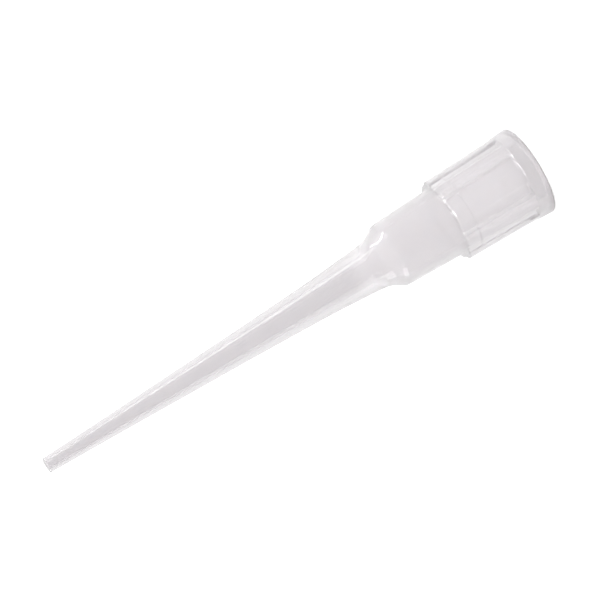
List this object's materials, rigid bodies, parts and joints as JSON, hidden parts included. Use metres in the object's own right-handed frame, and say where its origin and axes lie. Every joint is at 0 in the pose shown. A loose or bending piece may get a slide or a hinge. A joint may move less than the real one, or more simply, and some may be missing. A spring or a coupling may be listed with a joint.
{
  "type": "pipette tip",
  "caption": "Slim tapered disposable tip for a small-volume air-displacement pipette, with a ribbed collar, a smooth mouth ring and a through bore.",
  "frame": {"origin": "centre of the mouth's rim, which the tip stands on", "axes": "+Z along the bore from the mouth to the point; +X through the middle of one of the collar's ribs"},
  "size_m": [0.0052, 0.0052, 0.0315],
  "materials": {
    "clear_polypropylene": "natural translucent polypropylene, moulded glossy, faintly milky"
  },
  "bodies": {
    "root": {"pipette_tip": "clear_polypropylene"}
  },
  "joints": []
}
